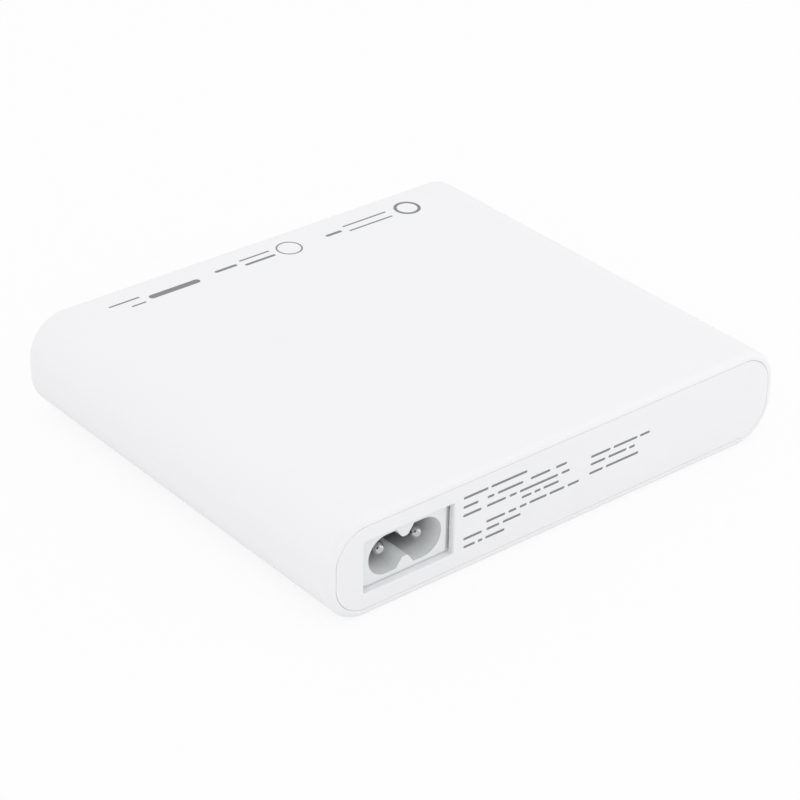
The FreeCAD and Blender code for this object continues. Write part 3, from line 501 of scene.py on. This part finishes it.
# Rear panel: short grey strokes in rows, read from the inlet's side, as (level, [(start, end), ...])
REAR_ROWS = [
    (15.85, [(24.6, 18.8), (18.1, 9.5)]),
    (13.90, [(24.6, 21.1), (18.9, 17.3), (16.5, 10.4), (8.6, 3.8), (2.4, -0.3)]),
    (12.10, [(24.6, 20.3), (19.0, 14.5), (13.6, 11.9), (11.1, 1.8), (0.9, -1.1)]),
    (10.60, [(10.6, 8.2), (7.5, 6.0), (5.3, 1.5)]),
    (8.75, [(19.0, 14.5), (13.7, 11.8), (11.0, 9.3), (8.6, 4.4), (3.7, 0.0), (-0.8, -3.6)]),
    (7.10, [(24.4, 20.0), (18.9, 15.8), (15.0, 10.7)]),
    (5.35, [(24.3, 21.6), (20.9, 19.8), (19.1, 14.5)]),
    (12.75, [(-6.4, -11.3), (-12.1, -18.2), (-18.9, -21.4)]),
    (11.10, [(-6.4, -10.1), (-10.9, -15.5), (-16.2, -17.7)]),
    (9.20, [(-6.2, -9.6), (-10.4, -18.7)]),
]
panel_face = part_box("rear_panel")[1].y
rear_face = Matrix(((MM, 0, 0, 0), (0, 0, MM, panel_face), (0, MM, 0, 0), (0, 0, 0, 1)))
rear_bars = [(start, end, level, LINE_HEIGHT) for level, strokes in REAR_ROWS for start, end in strokes]
add_print("rear_print", rear_face, rear_bars, [])

# Top, along the front edge: three groups of plain strokes and rings
TOP_BARS = [
    (30.8, 18.6, -40.6, 1.5),
    (39.4, 32.2, -42.0, 0.45),
    (35.6, 32.2, -39.6, 0.45),
    (14.3, 8.8, -41.4, 0.8),
    (7.6, 0.0, -42.3, 0.45),
    (7.6, 0.0, -40.2, 0.7),
    (-13.2, -17.3, -40.4, 0.8),
    (-18.6, -30.1, -41.7, 0.45),
    (-18.6, -30.1, -39.4, 0.45),
]
TOP_RINGS = [(-4.0, -40.8, 2.8, 0.35), (-34.9, -40.4, 2.9, 0.7)]
sleeve_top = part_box("outer_sleeve")[1].z
top_face = Matrix(((MM, 0, 0, 0), (0, MM, 0, 0), (0, 0, MM, sleeve_top), (0, 0, 0, 1)))
add_print("top_print", top_face, TOP_BARS, TOP_RINGS)


def gasket_loop(out, low_y, high_y):
    """One line round the inlet, at a distance from its sides, further back beside and above it."""
    pin_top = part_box("inlet_pin_line")[1].z / MM
    body = [corner.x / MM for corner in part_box("ac_inlet_body")]
    middle_x, middle_z = sum(body) / 2, pin_top - PIN_RADIUS
    across, up = (size / 2 - GASKET_CORNER for size in GASKET_SIZE)
    reach = GASKET_CORNER + out
    places = []
    for quarter, (side, level) in enumerate(((1, 1), (-1, 1), (-1, -1), (1, -1))):
        for step in range(GASKET_CORNER_STEPS + 1):
            turn = math.pi / 2 * (quarter + step / GASKET_CORNER_STEPS)
            x = middle_x + side * across + reach * math.cos(turn)
            z = middle_z + level * up + reach * math.sin(turn)
            above_underside = z - middle_z + GASKET_SIZE[1] / 2
            share = min(max((above_underside - GASKET_SLOPE_START) / GASKET_SLOPE_HEIGHT, 0.0), 1.0)
            places.append(Vector((x, low_y + (high_y - low_y) * share, z)) * MM)
    return places


def add_gasket():
    """The thin foam frame round the inlet, behind the window, that closes the seam to the panel."""
    mesh = bmesh.new()
    loops = [[mesh.verts.new(place) for place in gasket_loop(*edge)] for edge in GASKET_PROFILE]
    for first, second in zip(loops, loops[1:] + loops[:1]):
        for a in range(len(first)):
            b = (a + 1) % len(first)
            mesh.faces.new((first[a], first[b], second[b], second[a]))
    piece = add_piece("inlet_gasket", mesh, foam())
    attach(piece, "root")


add_gasket()


def background_flag(tree):
    """1 for rays that see the background directly, in a mirror or through glass, and 0 for light."""
    path = tree.nodes.new("ShaderNodeLightPath")
    seen = path.outputs["Is Camera Ray"]
    for other in ("Is Glossy Ray", "Is Transmission Ray"):
        node = tree.nodes.new("ShaderNodeMath")
        node.operation = "MAXIMUM"
        tree.links.new(seen, node.inputs[0])
        tree.links.new(path.outputs[other], node.inputs[1])
        seen = node.outputs[0]
    return seen


def card_level(tree):
    """What reflections see all round: white, apart from the dark card."""
    way = tree.nodes.new("ShaderNodeTexCoord").outputs["Generated"]
    near = tree.nodes.new("ShaderNodeVectorMath")
    near.operation = "DOT_PRODUCT"
    tree.links.new(way, near.inputs[0])
    near.inputs[1].default_value = Vector(CARD_WAY).normalized()
    card = tree.nodes.new("ShaderNodeMapRange")
    card.inputs["From Min"].default_value, card.inputs["From Max"].default_value = CARD_EDGE
    card.inputs["To Min"].default_value = 1.0
    card.inputs["To Max"].default_value = CARD_LEVEL
    tree.links.new(near.outputs["Value"], card.inputs["Value"])
    return card.outputs[0]


def set_world():
    """Even studio light from all round, which looks white itself."""
    world = bpy.data.worlds.new("studio")
    scene.world = world
    world.use_nodes = True
    tree = world.node_tree
    level = tree.nodes.new("ShaderNodeMapRange")
    level.inputs["To Min"].default_value = SKY_LEVEL
    level.inputs["To Max"].default_value = 1.0
    tree.links.new(background_flag(tree), level.inputs["Value"])
    sky = tree.nodes["Background"]
    sky.inputs["Color"].default_value = (1, 1, 1, 1)
    seen = tree.nodes.new("ShaderNodeMix")
    tree.links.new(tree.nodes.new("ShaderNodeLightPath").outputs["Is Glossy Ray"], seen.inputs[0])
    # Inputs 2 and 3 and output 0 are the node's numbers
    tree.links.new(level.outputs[0], seen.inputs[2])
    tree.links.new(card_level(tree), seen.inputs[3])
    tree.links.new(seen.outputs[0], sky.inputs["Strength"])


def add_lamp(name, place, width, power):
    """A round lamp, turned to the object."""
    data = bpy.data.lights.new(name, "AREA")
    data.shape = "DISK"
    data.size = width
    data.energy = power
    lamp = bpy.data.objects.new(name, data)
    lamp.location = place
    lamp.rotation_mode = "QUATERNION"
    lamp.rotation_quaternion = (-Vector(place)).to_track_quat("-Z", "Y")
    scene.collection.objects.link(lamp)


def add_floor():
    """A wide pale floor that keeps the object's soft shadow."""
    half = FLOOR_SIZE / 2
    data = bpy.data.meshes.new("floor")
    corners = [(-half, -half), (half, -half), (half, half), (-half, half)]
    data.from_pydata([(x, y, -FLOOR_DROP) for x, y in corners], [], [(0, 1, 2, 3)])
    material = bpy.data.materials.new("floor")
    material.use_nodes = True
    tree = material.node_tree
    tree.nodes.clear()
    paint = tree.nodes.new("ShaderNodeBsdfDiffuse")
    paint.inputs["Color"].default_value = (*FLOOR_COLOUR, 1)
    white = tree.nodes.new("ShaderNodeEmission")
    share = tree.nodes.new("ShaderNodeMath")
    share.operation = "MULTIPLY"
    share.inputs[1].default_value = FLOOR_WHITE_SHARE
    tree.links.new(background_flag(tree), share.inputs[0])
    mix = tree.nodes.new("ShaderNodeMixShader")
    tree.links.new(share.outputs[0], mix.inputs[0])
    tree.links.new(paint.outputs[0], mix.inputs[1])
    tree.links.new(white.outputs[0], mix.inputs[2])
    out = tree.nodes.new("ShaderNodeOutputMaterial")
    tree.links.new(mix.outputs[0], out.inputs["Surface"])
    data.materials.append(material)
    floor = bpy.data.objects.new("floor", data)
    scene.collection.objects.link(floor)


def add_camera():
    """The camera, turned about the middle of the object."""
    azimuth, elevation, roll = (math.radians(angle) for angle in (AZIMUTH, ELEVATION, ROLL))
    back = Vector((
        math.sin(azimuth) * math.cos(elevation),
        -math.cos(azimuth) * math.cos(elevation),
        math.sin(elevation),
    ))
    level_right = Vector((0, 0, 1)).cross(back).normalized()
    level_up = back.cross(level_right)
    right = math.cos(roll) * level_right + math.sin(roll) * level_up
    up = math.cos(roll) * level_up - math.sin(roll) * level_right
    target = (cad_box[0] + cad_box[1]) / 2
    lens = bpy.data.cameras.new("camera")
    lens.lens = LENS
    lens.sensor_width = SENSOR
    lens.shift_x, lens.shift_y = SHIFT
    lens.clip_start, lens.clip_end = CLIP
    camera = bpy.data.objects.new("camera", lens)
    turned = Matrix((right, up, back)).transposed().to_4x4()
    camera.matrix_world = Matrix.Translation(target + back * DISTANCE) @ turned
    scene.collection.objects.link(camera)
    scene.camera = camera


set_world()
add_lamp("overhead", *OVERHEAD_LAMP)
add_lamp("rear", *REAR_LAMP)
add_lamp("pin", *PIN_LAMP)
add_lamp("side", *SIDE_LAMP)
add_floor()
add_camera()
